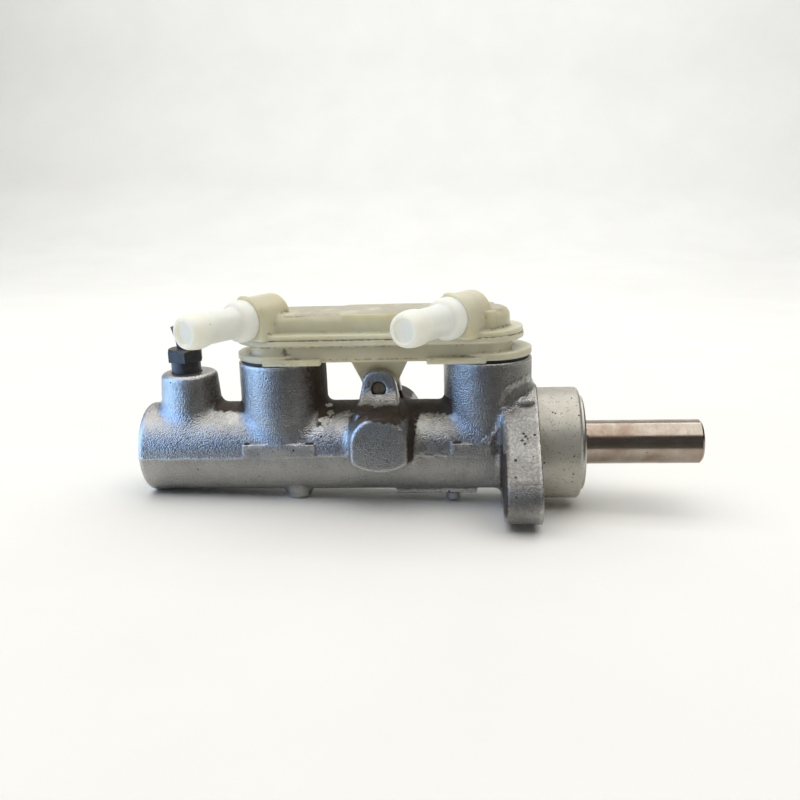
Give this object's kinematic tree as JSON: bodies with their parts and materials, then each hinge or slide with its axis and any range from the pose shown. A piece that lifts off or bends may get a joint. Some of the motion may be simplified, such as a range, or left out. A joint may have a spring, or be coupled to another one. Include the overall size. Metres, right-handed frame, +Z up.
{
  "type": "brake master cylinder",
  "caption": "Tandem brake master cylinder: cast barrel with reservoir bosses, two-bolt flange, protruding piston rod and a nylon union with hose nipples.",
  "frame": {"origin": "centre of the flange's mounting face, on the bore axis", "axes": "+X out of the flange along the piston rod, +Z up through the reservoir bosses, -Y toward the side the hose nipples point to"},
  "size_m": [0.2227, 0.0924, 0.0861],
  "materials": {
    "cast_alloy": "sand-textured die casting, dull, oily brown grime in the corners",
    "ground_steel": "ground and polished, slight brown tint",
    "piston_alloy": "machined satin",
    "plated_steel": "dull zinc plate",
    "spring_steel": "drawn wire, dark",
    "rusty_steel": "dull, browned by rust and dirt",
    "black_steel": "black phosphate and paint, satin",
    "seat_brass": "turned",
    "bush_bronze": "sintered, dull",
    "black_rubber": "matte",
    "aged_nylon": "yellowed translucent nylon, dirty along the seams",
    "white_nylon": "milky translucent nylon, satin"
  },
  "bodies": {
    "housing": {"cylinder_body": "cast_alloy", "primary_spring": "spring_steel", "secondary_spring": "spring_steel", "stop_washer": "plated_steel", "piston_guide": "piston_alloy", "guide_o_ring": "black_rubber", "guide_snap_ring": "spring_steel", "rod_seal": "black_rubber", "guide_bush": "bush_bronze", "rod_wiper": "black_rubber", "front_grommet": "black_rubber", "rear_grommet": "black_rubber", "union_base": "aged_nylon", "union_cover": "aged_nylon", "front_hose_nipple": "white_nylon", "rear_hose_nipple": "white_nylon", "reservoir_pin": "rusty_steel", "ledge_pin": "plated_steel", "flare_nut": "black_steel", "brake_pipe_stub": "black_steel", "front_flare_seat": "seat_brass", "rear_flare_seat": "seat_brass"},
    "primary": {"primary_piston": "ground_steel", "primary_cup": "black_rubber", "primary_spring_seat": "plated_steel", "retainer_screw": "plated_steel"},
    "secondary": {"secondary_piston": "piston_alloy", "secondary_front_cup": "black_rubber", "secondary_feed_cup": "black_rubber", "secondary_rear_cup": "black_rubber", "secondary_spring_seat": "plated_steel", "spring_retainer": "plated_steel"}
  },
  "joints": [
    {"name": "primary_slide", "type": "slide", "parent": "housing", "child": "primary", "axis": [-1, 0, 0], "range_m": [0, 0.026], "stiffness_N_per_m": 1500, "springref_m": -0.03, "deforming": ["primary_spring"]},
    {"name": "secondary_slide", "type": "slide", "parent": "housing", "child": "secondary", "axis": [-1, 0, 0], "range_m": [0, 0.013], "stiffness_N_per_m": 1200, "springref_m": -0.03, "deforming": ["secondary_spring"]}
  ],
  "couplings": [
    {"joint": "secondary_slide", "follows": "primary_slide", "ratio": 0.5}
  ]
}
